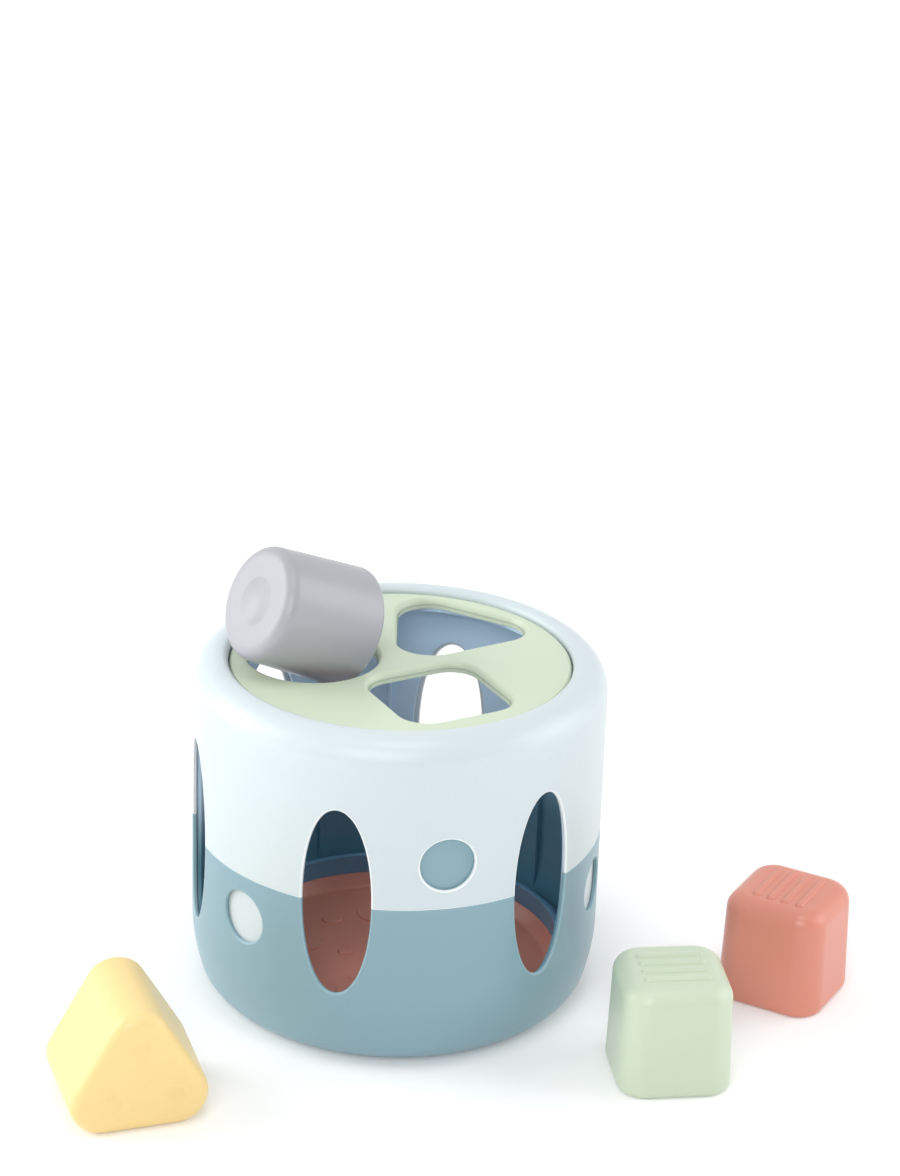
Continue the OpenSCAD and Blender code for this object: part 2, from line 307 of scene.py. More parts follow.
def sums(tree, operation, first, second):
    """A math node; each term is a socket or a number."""
    node = tree.nodes.new("ShaderNodeMath")
    node.operation = operation
    for slot, term in zip(node.inputs, (first, second)):
        if isinstance(term, (int, float)):
            slot.default_value = term
        else:
            tree.links.new(term, slot)
    return node.outputs["Value"]


grain, grain_in, grain_out = new_group(
    "mould_grain",
    [("Wave Depth", "NodeSocketFloat", 0.6), ("Roughness", "NodeSocketFloat", 0.35),
     ("Roughness Swing", "NodeSocketFloat", 0.06)],
    [("Height", "NodeSocketFloat"), ("Roughness", "NodeSocketFloat")],
)
place = grain.nodes.new("ShaderNodeTexCoord")
fine = noise(grain, 2600, 2.0)
wave = noise(grain, 55, 1.0)
patch = noise(grain, 28, 3.0)
for texture in (fine, wave, patch):
    grain.links.new(place.outputs["Object"], texture.inputs["Vector"])
deep_wave = sums(grain, "MULTIPLY", wave.outputs["Fac"], grain_in.outputs["Wave Depth"])
shallow_grain = sums(grain, "MULTIPLY", fine.outputs["Fac"], 0.05)
grain.links.new(sums(grain, "ADD", deep_wave, shallow_grain), grain_out.inputs["Height"])
centred = sums(grain, "SUBTRACT", patch.outputs["Fac"], 0.5)
swing = sums(grain, "MULTIPLY", centred, grain_in.outputs["Roughness Swing"])
swung = sums(grain, "ADD", grain_in.outputs["Roughness"], swing)
grain.links.new(swung, grain_out.inputs["Roughness"])
print("group", grain.name)

# %% [markdown]
# The second group is the colour of the plastic. Pigment never mixes perfectly: it drifts slowly
# over a piece and holds a few faint specks. Dust and handling also lift the tone a little on
# faces that look up. All of it is slight, because the toy is new.

# %% Pigment group
pigment, pigment_in, pigment_out = new_group(
    "pigment",
    [("Colour", "NodeSocketColor", (0.8, 0.8, 0.8, 1)), ("Drift", "NodeSocketFloat", 0.05),
     ("Specks", "NodeSocketFloat", 0.05), ("Dust", "NodeSocketFloat", 0.03)],
    [("Colour", "NodeSocketColor")],
)
place = pigment.nodes.new("ShaderNodeTexCoord")
drift = noise(pigment, 14, 2.0)
speck = noise(pigment, 900, 1.0)
for texture in (drift, speck):
    pigment.links.new(place.outputs["Object"], texture.inputs["Vector"])
drift_step = sums(pigment, "SUBTRACT", drift.outputs["Fac"], 0.5)
drift_step = sums(pigment, "MULTIPLY", drift_step, pigment_in.outputs["Drift"])
speck_mask = ramp(pigment, speck.outputs["Fac"], 0.66, 0.80)
speck_step = sums(pigment, "MULTIPLY", speck_mask, pigment_in.outputs["Specks"])
surface = pigment.nodes.new("ShaderNodeNewGeometry")
facing_parts = pigment.nodes.new("ShaderNodeSeparateXYZ")
pigment.links.new(surface.outputs["Normal"], facing_parts.inputs["Vector"])
facing_up = sums(pigment, "MAXIMUM", facing_parts.outputs["Z"], 0.0)
dust_step = sums(pigment, "MULTIPLY", facing_up, pigment_in.outputs["Dust"])
dust_step = sums(pigment, "MULTIPLY", dust_step, drift.outputs["Fac"])
tone = sums(pigment, "ADD", drift_step, 1.0)
tone = sums(pigment, "SUBTRACT", tone, speck_step)
tinted = pigment.nodes.new("ShaderNodeVectorMath")
tinted.operation = "SCALE"
pigment.links.new(pigment_in.outputs["Colour"], tinted.inputs[0])
pigment.links.new(tone, tinted.inputs["Scale"])
dusted = pigment.nodes.new("ShaderNodeMix")
dusted.data_type = "RGBA"
dusted.inputs["B"].default_value = (0.8, 0.8, 0.78, 1)
pigment.links.new(dust_step, dusted.inputs["Factor"])
pigment.links.new(tinted.outputs["Vector"], dusted.inputs["A"])
pigment.links.new(dusted.outputs["Result"], pigment_out.inputs["Colour"])
print("group", pigment.name)

# %% [markdown]
# Each colour is then a short recipe. The shader itself stays in the material, with its constants
# on its own sockets, and takes only colour, roughness and height from the groups.

# %% Plastics
def placed(tree, group, values):
    """A group node with its own values."""
    node = tree.nodes.new("ShaderNodeGroup")
    node.node_tree = group
    for title, value in values.items():
        node.inputs[title].default_value = value
    return node


def plastic(name, colour, roughness=0.32, bump=0.10):
    """Satin moulded plastic in one colour."""
    made = bpy.data.materials.new(name)
    made.use_nodes = True
    links = made.node_tree.links
    shader = made.node_tree.nodes["Principled BSDF"]
    shader.inputs["IOR"].default_value = 1.48
    skin = placed(made.node_tree, grain, {"Roughness": roughness})
    paint = placed(made.node_tree, pigment, {"Colour": (*colour, 1)})
    relief = made.node_tree.nodes.new("ShaderNodeBump")
    relief.inputs["Strength"].default_value = bump
    relief.inputs["Distance"].default_value = 0.4 * MM
    links.new(skin.outputs["Height"], relief.inputs["Height"])
    links.new(skin.outputs["Roughness"], shader.inputs["Roughness"])
    links.new(paint.outputs["Colour"], shader.inputs["Base Color"])
    links.new(relief.outputs["Normal"], shader.inputs["Normal"])
    return made


# The liner's inside is painted: a dark blue low down is painted shade, and a pale blue high up is
# painted light.
LINER_BLUE_PAINTED_SHADE = (0.11, 0.28, 0.38)
LINER_BLUE_PAINTED_LIGHT = (0.62, 0.82, 0.99)

# The paler white and blue edge materials are painted highlights: lighter copies of the shells'
# colours for their rounded edges.
white_plastic = plastic("white_plastic", (0.61, 0.685, 0.71))
white_painted_highlight = plastic("white_plastic_painted_highlight", (0.86, 0.89, 0.90))
blue_plastic = plastic("grey_blue_plastic", (0.235, 0.375, 0.435))
blue_painted_highlight = plastic("grey_blue_plastic_painted_highlight", (0.28, 0.44, 0.50))
liner_plastic = plastic("liner_blue_plastic", LINER_BLUE_PAINTED_SHADE)
ring_plastic = plastic("ring_blue_plastic", (0.13, 0.29, 0.43))
green_plastic = plastic("sage_green_plastic", (0.60, 0.69, 0.53))
terracotta_plastic = plastic("terracotta_plastic", (0.72, 0.27, 0.195), roughness=0.3)
lilac_plastic = plastic("lilac_grey_plastic", (0.385, 0.385, 0.415), bump=0.05)
yellow_plastic = plastic("pale_yellow_plastic", (0.90, 0.67, 0.29))
print("plastics", [m.name for m in bpy.data.materials])

# %% [markdown]
# The liner needs one effect more, and it is painted light and shade. Its wall is thin, and above
# the seam it stands behind a white shell that lets daylight through, so its upper half looks paler
# from inside than the half behind the blue shell, and deep inside the bucket it lies in shade. A
# third group paints this into the colour: it mixes a dark colour, painted shade, and a pale one,
# painted light, by height, and its result is put in place of the liner's plain colour.

# %% Paler upper wall, painted light and shade
painted_light_by_height, painted_light_in, painted_light_out = new_group(
    "painted_light_by_height",
    [("Low Colour", "NodeSocketColor", (0.2, 0.3, 0.4, 1)),
     ("High Colour", "NodeSocketColor", (0.5, 0.7, 0.9, 1)),
     ("Low Height", "NodeSocketFloat", 0.0), ("High Height", "NodeSocketFloat", 0.1)],
    [("Colour", "NodeSocketColor")],
)
place = painted_light_by_height.nodes.new("ShaderNodeTexCoord")
height_parts = painted_light_by_height.nodes.new("ShaderNodeSeparateXYZ")
climb = painted_light_by_height.nodes.new("ShaderNodeMapRange")
climb.interpolation_type = "SMOOTHSTEP"
two_tone = painted_light_by_height.nodes.new("ShaderNodeMix")
two_tone.data_type = "RGBA"
painted_light_by_height.links.new(place.outputs["Object"], height_parts.inputs["Vector"])
painted_light_by_height.links.new(height_parts.outputs["Z"], climb.inputs["Value"])
painted_light_by_height.links.new(painted_light_in.outputs["Low Height"], climb.inputs["From Min"])
painted_light_by_height.links.new(painted_light_in.outputs["High Height"], climb.inputs["From Max"])
painted_light_by_height.links.new(climb.outputs["Result"], two_tone.inputs["Factor"])
painted_light_by_height.links.new(painted_light_in.outputs["Low Colour"], two_tone.inputs["A"])
painted_light_by_height.links.new(painted_light_in.outputs["High Colour"], two_tone.inputs["B"])
painted_light_by_height.links.new(two_tone.outputs["Result"], painted_light_out.inputs["Colour"])

liner_tree = liner_plastic.node_tree
liner_tone = placed(liner_tree, painted_light_by_height, {
    "Low Colour": (*LINER_BLUE_PAINTED_SHADE, 1), "High Colour": (*LINER_BLUE_PAINTED_LIGHT, 1),
    "Low Height": 45 * MM, "High Height": 80 * MM})
liner_paint = next(n for n in liner_tree.nodes if n.type == "GROUP" and n.node_tree == pigment)
liner_tree.links.new(liner_tone.outputs["Colour"], liner_paint.inputs["Colour"])
print("group", painted_light_by_height.name, "in", liner_plastic.name)

# %% [markdown]
# ## The bucket's wall, drawn flat
#
# The wall is a tube with six windows, and a tube is hard to cut cleanly. A moulder's drawing
# shows it unrolled, and that is also the easy way to model it: a flat sheet, as long as the tube
# is round, with each opening set into its own panel. The sheet is divided into twelve cells, a
# window in every second one. A panel's faces are taken out, and a loop of the hole's shape is
# bridged to the panel's border, so that all faces flow round the hole and its edge can be
# rounded evenly. The flat sheet is then wrapped round the axis.

# %% Cells and levels
CELLS = 12
COLUMNS = 20
CELL_TURN = FULL_TURN / CELLS
WINDOW_TURN = math.radians(-15.9)
SHEET_START = WINDOW_TURN - CELL_TURN / 2

WINDOW_W = 13.3 * MM
WINDOW_H = 37.3 * MM
WINDOW_Z = 68.9 * MM
DOT_R = 10.3 * MM
UPPER_DOT_Z = 85.8 * MM
LOWER_DOT_Z = 51 * MM
DOT_PANEL = 14 * MM
DOT_COLUMNS = 7
DOT_ROWS = 8

WALL_FOOT = 27 * MM
WALL_TOP = 112 * MM


def spread(first, last, steps):
    """Evenly spaced values from first to last."""
    return [first + (last - first) * i / steps for i in range(steps + 1)]


levels = (
    [WALL_FOOT, 32 * MM]
    + spread(LOWER_DOT_Z - DOT_PANEL, LOWER_DOT_Z + DOT_PANEL, DOT_ROWS)
    + [SEAM_Z]
    + spread(UPPER_DOT_Z - DOT_PANEL, UPPER_DOT_Z + DOT_PANEL, DOT_ROWS)
    + [106 * MM, WALL_TOP]
)
print("levels mm", [round(z / MM, 1) for z in levels])

# %% [markdown]
# A window is an oval, a touch fuller than an ellipse. Its points are found by looking out from
# the middle of the seam towards each point of the panel's border, so two of them fall exactly on
# the seam, where the wall is parted later.

# %% Hole outlines
FULLNESS = 2.08


def inside_window(x, z, spare):
    across = abs(x) / (WINDOW_W + spare)
    along = abs(z - WINDOW_Z) / (WINDOW_H + spare)
    return across**FULLNESS + along**FULLNESS < 1


def window_point(x, z, half_width, half_height, spare):
    """The window's edge on the way from the seam's middle to a point of the panel's border."""
    step_x = x / half_width * WINDOW_W
    step_z = (z - SEAM_Z) / half_height * WINDOW_H
    near, far = 0.0, 2.0
    for _ in range(40):
        middle = (near + far) / 2
        if inside_window(step_x * middle, SEAM_Z + step_z * middle, spare):
            near = middle
        else:
            far = middle
    return step_x * near, SEAM_Z + step_z * near


def dot_point(x, z, radius, centre_z):
    reach = math.hypot(x, z - centre_z)
    return x / reach * radius, centre_z + (z - centre_z) / reach * radius


print("window mm", round(2 * WINDOW_W / MM, 1), "by", round(2 * WINDOW_H / MM, 1))


# %% Flat sheet with panels
def flat_sheet(name, radius):
    """The unrolled wall: x runs along it, z is the height and -y is the outside."""
    length = FULL_TURN * radius
    columns, rows = CELLS * COLUMNS, len(levels) - 1
    bpy.ops.mesh.primitive_grid_add(x_subdivisions=columns, y_subdivisions=rows, size=1)
    sheet = bpy.context.object
    sheet.name = name
    for index, vertex in enumerate(sheet.data.vertices):
        row, column = divmod(index, columns + 1)
        vertex.co = (length * column / columns, 0, levels[row])
    return sheet


BRIDGE_DEPTH = 20 * MM


def panel(sheet, radius, cell, half_columns, low, high, edge_point, cuts):
    """Opens a panel of the sheet and bridges its border to a loop of the hole's shape. The loop
    stands off the sheet while it is bridged, because two loops in one plane can be joined
    back to front; afterwards all is pressed flat."""
    step = FULL_TURN * radius / (CELLS * COLUMNS)
    middle = (cell + 0.5) * COLUMNS * step
    half = half_columns * step
    slack = 0.05 * MM
    rows = [z for z in levels if low - slack < z < high + slack]
    columns = [(i - half_columns) * step for i in range(2 * half_columns + 1)]

    def within(x, z, more):
        return abs(x - middle) < half + more and rows[0] - more < z < rows[-1] + more

    edit(sheet, "FACE", lambda centre, normal: within(centre.x, centre.z, 0),
         bpy.ops.mesh.delete, type="ONLY_FACE")
    edit(sheet, "VERT", lambda centre, vertex: within(centre.x, centre.z, -slack),
         bpy.ops.mesh.delete, type="VERT")
    border = (
        [(x, rows[0]) for x in columns[:-1]]
        + [(columns[-1], z) for z in rows[:-1]]
        + [(x, rows[-1]) for x in reversed(columns[1:])]
        + [(columns[0], z) for z in reversed(rows[1:])]
    )
    bpy.ops.mesh.primitive_circle_add(vertices=len(border))
    loop = bpy.context.object
    for vertex, (x, z) in zip(loop.data.vertices, border):
        edge_x, edge_z = edge_point(x, z, half)
        vertex.co = (middle + edge_x, BRIDGE_DEPTH, edge_z)
    join(sheet, loop)

    def on_loops(centre, ends):
        inner = all(within(end.x, end.z, -slack) for end in ends)
        outer = all(
            within(end.x, end.z, slack) and not within(end.x, end.z, -slack) for end in ends
        )
        return inner or outer

    edit(sheet, "EDGE", on_loops,
         bpy.ops.mesh.bridge_edge_loops, number_cuts=cuts, interpolation="LINEAR")
    for vertex in sheet.data.vertices:
        vertex.co.y = 0


def cut_windows(sheet, radius, spare=0):
    low, high = levels[0], levels[-1]
    reach = max(high - SEAM_Z, SEAM_Z - low)
    for cell in range(0, CELLS, 2):
        panel(sheet, radius, cell, COLUMNS // 2, low, high,
              lambda x, z, half: window_point(x, z, half, reach, spare), 4)


def cut_dots(sheet, radius, cells, dot_z, dot_radius):
    for cell in cells:
        panel(sheet, radius, cell, DOT_COLUMNS, dot_z - DOT_PANEL, dot_z + DOT_PANEL,
              lambda x, z, half: dot_point(x, z, dot_radius, dot_z), 2)


UPPER_DOT_CELLS = (1, 5, 9)
LOWER_DOT_CELLS = (3, 7, 11)
print("cells", CELLS, "of", COLUMNS, "columns")

# %% [markdown]
# Above and below the windows the wall turns into a section that is the same all round, so it is
# drawn by pulling the sheet's top or bottom edge along the section, one extrusion for each point.
# The wall also leans in slightly below the windows, along a long arc, before the foot's corner.

# %% Section and wrapping
FLANK_R = 80 * MM
FOOT_R = 13 * MM
FOOT_X = 62.5 * MM
FLANK_X = BODY_R - FLANK_R
FLANK_Z = FOOT_R + math.sqrt((FLANK_R - FOOT_R) ** 2 - (FOOT_X - FLANK_X) ** 2)


def arc(centre_x, centre_z, radius, start, end, steps):
    """Points of an arc from one angle to another, in degrees."""
    turns = (math.radians(a) for a in spread(start, end, steps))
    return [(centre_x + radius * math.cos(a), centre_z + radius * math.sin(a)) for a in turns]


def lean_in(sheet, inset):
    """Moves the part of the sheet below the flank's start in along the flank's arc."""
    radius = FLANK_R - inset
    for vertex in sheet.data.vertices:
        drop = FLANK_Z - vertex.co.z
        if drop > 0:
            vertex.co.y += radius - math.sqrt(radius**2 - drop**2)


def pull_edge(sheet, height, points):
    """Extrudes the sheet's edge at a height along points of the section."""
    choose(sheet, "VERT", lambda centre, vertex: abs(centre.z - height) < HAIR)
    last = points[0]
    for point in points[1:]:
        move = (0, last[0] - point[0], point[1] - last[1])
        bpy.ops.mesh.extrude_region_move(TRANSFORM_OT_translate={"value": move})
        last = point
    bpy.ops.object.mode_set(mode="OBJECT")


def wrap(sheet, radius):
    """Rolls the flat sheet round the axis and closes it."""
    for vertex in sheet.data.vertices:
        turn = SHEET_START + vertex.co.x / radius
        reach = radius - vertex.co.y
        vertex.co.x = reach * math.sin(turn)
        vertex.co.y = -reach * math.cos(turn)
    edit(sheet, "VERT", everything, bpy.ops.mesh.remove_doubles, threshold=HAIR)


print("flank starts at", round(FLANK_Z / MM, 2), "mm")


# %% [markdown]
# The sheet has no thickness yet. Solidify gives it the real wall, and then every sharp edge gets
# a small rounding. The edges at the seam get half of it, so the joint between the two colours
# stays a thin line. On the two shells the rounding's faces are painted in a paler copy of the
# wall's colour, a painted highlight.

# %% Thickness and edges
def thicken(sheet, thickness, outwards=False):
    apply_modifier(sheet, "SOLIDIFY", thickness=thickness, offset=1 if outwards else -1,
                   use_even_offset=True, use_quality_normals=True)


def round_edges(obj, width, segments=3, seam=None, painted_highlight_slot=-1):
    """Rounds all sharp edges; those at the seam's height get half the width. The new faces can
    take another of the piece's materials; on the shells that is a paler copy, a painted highlight."""
    pick(obj)
    bpy.ops.object.mode_set(mode="EDIT")
    bpy.ops.mesh.select_mode(type="EDGE")
    bpy.ops.mesh.select_all(action="DESELECT")
    bpy.ops.mesh.edges_select_sharp(sharpness=math.radians(50))
    bpy.ops.object.mode_set(mode="OBJECT")
    mesh = obj.data
    weights = mesh.attributes.new("bevel_weight_edge", "FLOAT", "EDGE")
    for edge in mesh.edges:
        if edge.select:
            ends = [mesh.vertices[i].co.z for i in edge.vertices]
            at_seam = seam is not None and all(abs(z - seam) < 0.2 * MM for z in ends)
            weights.data[edge.index].value = 0.5 if at_seam else 1.0
    apply_modifier(obj, "BEVEL", width=width, segments=segments, limit_method="WEIGHT",
                   use_clamp_overlap=False, miter_outer="MITER_SHARP", material=painted_highlight_slot)


def wear(obj, *materials):
    """Gives a piece several materials; its faces start with the first."""
    for material in materials:
        obj.data.materials.append(material)


# %% [markdown]
# ## The two outer shells
#
# The white upper shell and the blue lower shell share one wall, because the windows run across
# the seam. The wall is made once, copied, and parted at the seam. The upper one then goes on over
# the shoulder and down into the rim that the lid drops into. The lower one goes round the foot's
# corner and under, where it ends at the edge of the floor piece. Its wall stays upright down to
# the sheet's edge, and only what is pulled from there follows the flank.

# %% Outer shells
SHELL_T = 1.7 * MM
HOLE_EDGE = 0.65 * MM
SHOULDER_R = 11 * MM
RIM_X = 64.7 * MM
RIM_R = 2.3 * MM
LIP_END = LID_Z - 4 * MM
BASE_HOLE_R = 57 * MM

upper_shell = flat_sheet("white_upper_shell", BODY_R)
cut_windows(upper_shell, BODY_R)
pick(upper_shell)
bpy.ops.object.duplicate()
lower_shell = bpy.context.object
lower_shell.name = "blue_lower_shell"

cut_dots(upper_shell, BODY_R, UPPER_DOT_CELLS, UPPER_DOT_Z, DOT_R)
edit(upper_shell, "VERT", lambda centre, vertex: centre.z < SEAM_Z - HAIR,
     bpy.ops.mesh.delete, type="VERT")
shoulder_z = BODY_H - SHOULDER_R
pull_edge(upper_shell, WALL_TOP, (
    [(BODY_R, WALL_TOP), (BODY_R, 118 * MM)]
    + arc(BODY_R - SHOULDER_R, shoulder_z, SHOULDER_R, 0, 90, 16)
    + arc(RIM_X + RIM_R, BODY_H - RIM_R, RIM_R, 90, 180, 8)[1:]
    + [(RIM_X, LIP_END)]
))
wrap(upper_shell, BODY_R)
thicken(upper_shell, SHELL_T)
wear(upper_shell, white_plastic, white_painted_highlight)
# The rounded edges take the second, paler material, a painted highlight.
round_edges(upper_shell, HOLE_EDGE, 4, SEAM_Z, painted_highlight_slot=1)
shade(upper_shell)
hand_over(upper_shell, "root", "upper_shell")

# %% Lower shell
cut_dots(lower_shell, BODY_R, LOWER_DOT_CELLS, LOWER_DOT_Z, DOT_R)
edit(lower_shell, "VERT", lambda centre, vertex: centre.z > SEAM_Z + HAIR,
     bpy.ops.mesh.delete, type="VERT")
flank_start = -math.degrees(math.asin((FLANK_Z - WALL_FOOT) / FLANK_R))
foot_start = -math.degrees(math.asin((FLANK_Z - FOOT_R) / (FLANK_R - FOOT_R)))
pull_edge(lower_shell, WALL_FOOT, (
    arc(FLANK_X, FLANK_Z, FLANK_R, flank_start, foot_start, 10)
    + arc(FOOT_X, FOOT_R, FOOT_R, foot_start, -90, 14)[1:]
    + [(BASE_HOLE_R, 0)]
))
wrap(lower_shell, BODY_R)
thicken(lower_shell, SHELL_T)
wear(lower_shell, blue_plastic, blue_painted_highlight)
# The rounded edges take the second, paler material, a painted highlight.
round_edges(lower_shell, HOLE_EDGE, 4, SEAM_Z, painted_highlight_slot=1)
shade(lower_shell)
hand_over(lower_shell, "root", "lower_shell")

# %% [markdown]
# ## The liner
#
# Inside both shells stands a sleeve, which the windows also pass through; its inside is painted
# darker low down and paler high up, painted shade and painted light. It shows as the blue dots in
# the round holes of the white shell. In the blue shell's holes a white disc lies in a shallow
# pocket of the sleeve. The sheet is its inner face, and the thickness goes outwards.
# The pockets are closed holes: the loop is filled with a grid of faces, which is then pushed in.

# %% Liner wall
LINER_IN = 1.75 * MM
LINER_T = 1.8 * MM
LINER_R = BODY_R - LINER_IN - LINER_T
INSERT_R = 12.5 * MM
INSERT_T = 0.8 * MM
LEDGE_X = 60.5 * MM
LINER_FOOT = 11.05 * MM
LINER_SPARE = 1.7 * MM
LINER_ARC_R = 8.25 * MM


def fill_loops(sheet, centres, radius):
    """Fills round holes of a flat sheet with a grid of faces."""
    for middle_x, middle_z in centres:
        def on_loop(centre, ends):
            reaches = [math.hypot(end.x - middle_x, end.z - middle_z) for end in ends]
            return all(abs(reach - radius) < 0.02 * MM for reach in reaches)
        edit(sheet, "EDGE", on_loop, bpy.ops.mesh.fill_grid, span=11)


liner = flat_sheet("blue_liner", LINER_R)
cut_windows(liner, LINER_R, LINER_SPARE)
pocket_r = INSERT_R + 0.05 * MM
cut_dots(liner, LINER_R, LOWER_DOT_CELLS, LOWER_DOT_Z, pocket_r)
cell_length = FULL_TURN * LINER_R / CELLS
fill_loops(liner, [((cell + 0.5) * cell_length, LOWER_DOT_Z) for cell in LOWER_DOT_CELLS], pocket_r)
lean_in(liner, LINER_IN + LINER_T)
inner_flank = FLANK_R - LINER_IN - LINER_T
start = -math.degrees(math.asin((FLANK_Z - WALL_FOOT) / inner_flank))
end = -math.degrees(math.asin((FLANK_Z - LINER_FOOT) / inner_flank))
pull_edge(liner, WALL_FOOT, arc(FLANK_X, FLANK_Z, inner_flank, start, end, 7))
ledge_z = LIP_END - 0.05 * MM - LINER_T
arc_z = ledge_z - LINER_ARC_R
pull_edge(liner, WALL_TOP, (
    [(LINER_R, WALL_TOP)]
    + arc(LINER_R - LINER_ARC_R, arc_z, LINER_ARC_R, 0, 90, 14)
    + [(LEDGE_X, ledge_z)]
))
wrap(liner, LINER_R)
thicken(liner, LINER_T, outwards=True)


def in_pocket(centre, normal):
    """Faces of the sleeve's outside that a white disc covers."""
    outside = centre.x * normal.x + centre.y * normal.y > 0
    for cell in LOWER_DOT_CELLS:
        turn = SHEET_START + (cell + 0.5) * CELL_TURN
        away = math.atan2(centre.x, -centre.y) - turn
        away = (away + math.pi) % FULL_TURN - math.pi
        if outside and math.hypot(away * LINER_R, centre.z - LOWER_DOT_Z) < pocket_r - 0.1 * MM:
            return math.hypot(centre.x, centre.y) > LINER_R + 0.5 * LINER_T
    return False


edit(liner, "FACE", in_pocket, bpy.ops.mesh.extrude_region_shrink_fatten,
     TRANSFORM_OT_shrink_fatten={"value": -(INSERT_T + 0.05 * MM)})
# The inner faces take the liner material, painted darker low down and paler high up.
wear(liner, blue_plastic, liner_plastic)
for face in liner.data.polygons:
    away = Vector((face.center.x, face.center.y, 0)).normalized()
    if face.normal.dot(away) < 0.5:
        face.material_index = 1
round_edges(liner, 0.4 * MM)
print("liner faces", len(liner.data.polygons))

# %% [markdown]
# Twelve slim ribs stiffen the sleeve, a pair behind each dot. One rib is a long cube with its
# two inner edges rounded. It is made once and copied to its places, sunk a little into the wall.

# %% Liner ribs
RIB_W = 1.4 * MM
RIB_H = 2.2 * MM
RIB_FOOT = 12 * MM
RIB_TOP = 114 * MM
RIB_SUNK = 0.6 * MM
RIB_PAIRS = ((UPPER_DOT_CELLS, 4.5), (LOWER_DOT_CELLS, 10.9))

rib_length = RIB_TOP - RIB_FOOT
bpy.ops.mesh.primitive_cube_add(size=1)
rib = bpy.context.object
for vertex in rib.data.vertices:
    vertex.co.x *= RIB_W
    vertex.co.y = -LINER_R + (RIB_H if vertex.co.y > 0 else -RIB_SUNK)
    vertex.co.z = RIB_FOOT + (vertex.co.z + 0.5) * rib_length
edit(rib, "EDGE", lambda centre, ends: centre.y > -LINER_R + RIB_H - HAIR,
     bpy.ops.mesh.bevel, offset=0.35 * MM, segments=3)
wear(rib, liner_plastic)

ribs = []
for cells, half_angle in RIB_PAIRS:
    for cell in cells:
        for side in (-1, 1):
            turn = SHEET_START + (cell + 0.5) * CELL_TURN + side * math.radians(half_angle)
            copy = rib.copy()
            copy.data = rib.data.copy()
            bpy.context.collection.objects.link(copy)
            copy.data.transform(Matrix.Rotation(turn, 4, "Z"))
            ribs.append(copy)
bpy.data.objects.remove(rib)
join(liner, *ribs)
shade(liner)
hand_over(liner, "root", "inner_sleeve")

# %% [markdown]
# The white discs are flat sheets too: one round loop filled with a grid, wrapped to the wall's
# curve and given its thickness inwards.

# %% White discs
def dot_insert(index, cell):
    radius = BODY_R - LINER_IN
    middle = (cell + 0.5) * FULL_TURN * radius / CELLS
    bpy.ops.mesh.primitive_circle_add(vertices=64, radius=INSERT_R)
    disc = bpy.context.object
    disc.name = f"white_disc_{index}"
    for vertex in disc.data.vertices:
        vertex.co = (middle + vertex.co.x, 0, LOWER_DOT_Z + vertex.co.y)
    edit(disc, "EDGE", everything, bpy.ops.mesh.fill_grid, span=16)
    wrap(disc, radius)
    edit(disc, "FACE", lambda centre, normal: normal.x * centre.x + normal.y * centre.y < 0,
         bpy.ops.mesh.flip_normals)
    thicken(disc, INSERT_T)
    round_edges(disc, 0.15 * MM, segments=2)
    shade(disc)
    hand_over(disc, "root", f"white_dot_{index}", white_plastic)


for index, cell in enumerate((11, 3, 7), start=1):
    dot_insert(index, cell)

# %% [markdown]
# ## Turned pieces
#
# The floor ring, the floor and the round block are the same all round. A circle primitive gives
# a closed loop of as many points as the section needs, each point is put in its place on the
# section, and the spin operator turns the loop round the axis.

# %% Turning
def turned(name, section, steps=180):
    """A solid of revolution from a closed section of (radius, height) points."""
    bpy.ops.mesh.primitive_circle_add(vertices=len(section))
    made = bpy.context.object
    made.name = name
    for vertex, (radius, height) in zip(made.data.vertices, section):
        vertex.co = (radius, 0, height)
    choose(made, "EDGE", lambda centre, ends: max(end.x for end in ends) < 0.001 * MM)
    bpy.ops.mesh.delete(type="EDGE")
    bpy.ops.mesh.select_all(action="SELECT")
    bpy.ops.mesh.spin(steps=steps, angle=FULL_TURN, center=(0, 0, 0), axis=(0, 0, 1))
    tidy_mesh(made)
    return made


# %% [markdown]
# The ring carries the sleeve's foot on its low shelf, and its upright collar holds the floor's
# edge. Seen through a window the collar is the band between the dark wall and the floor, so its
# top is rounded to catch the light.

# %% Floor ring
RING_Z = 16.8 * MM
SHELF_Z = 11 * MM
COLLAR_X = 63.7 * MM
COLLAR_OUT = 66 * MM
SHELF_T = 1.8 * MM
PLATE_R = 64.6 * MM
PLATE_RIM_Z = 8.8 * MM
GAP = 0.05 * MM
outer_r = FLANK_R - LINER_IN
soft = 0.5 * MM


def inner_wall_x(z):
    """Radius at which the shell's inside, less a gap, stands at a height."""
    foot_top = FOOT_R - (FOOT_R - LINER_IN) * (FLANK_Z - FOOT_R) / (FLANK_R - FOOT_R)
    if z > foot_top:
        return FLANK_X + math.sqrt(outer_r**2 - (FLANK_Z - z) ** 2)
    return FOOT_X + math.sqrt((FOOT_R - LINER_IN) ** 2 - (FOOT_R - z) ** 2)


def inner_foot_z(x):
    """Height of the shell's inside, plus a gap, at a radius."""
    return FOOT_R - math.sqrt((FOOT_R - LINER_IN) ** 2 - (x - FOOT_X) ** 2)


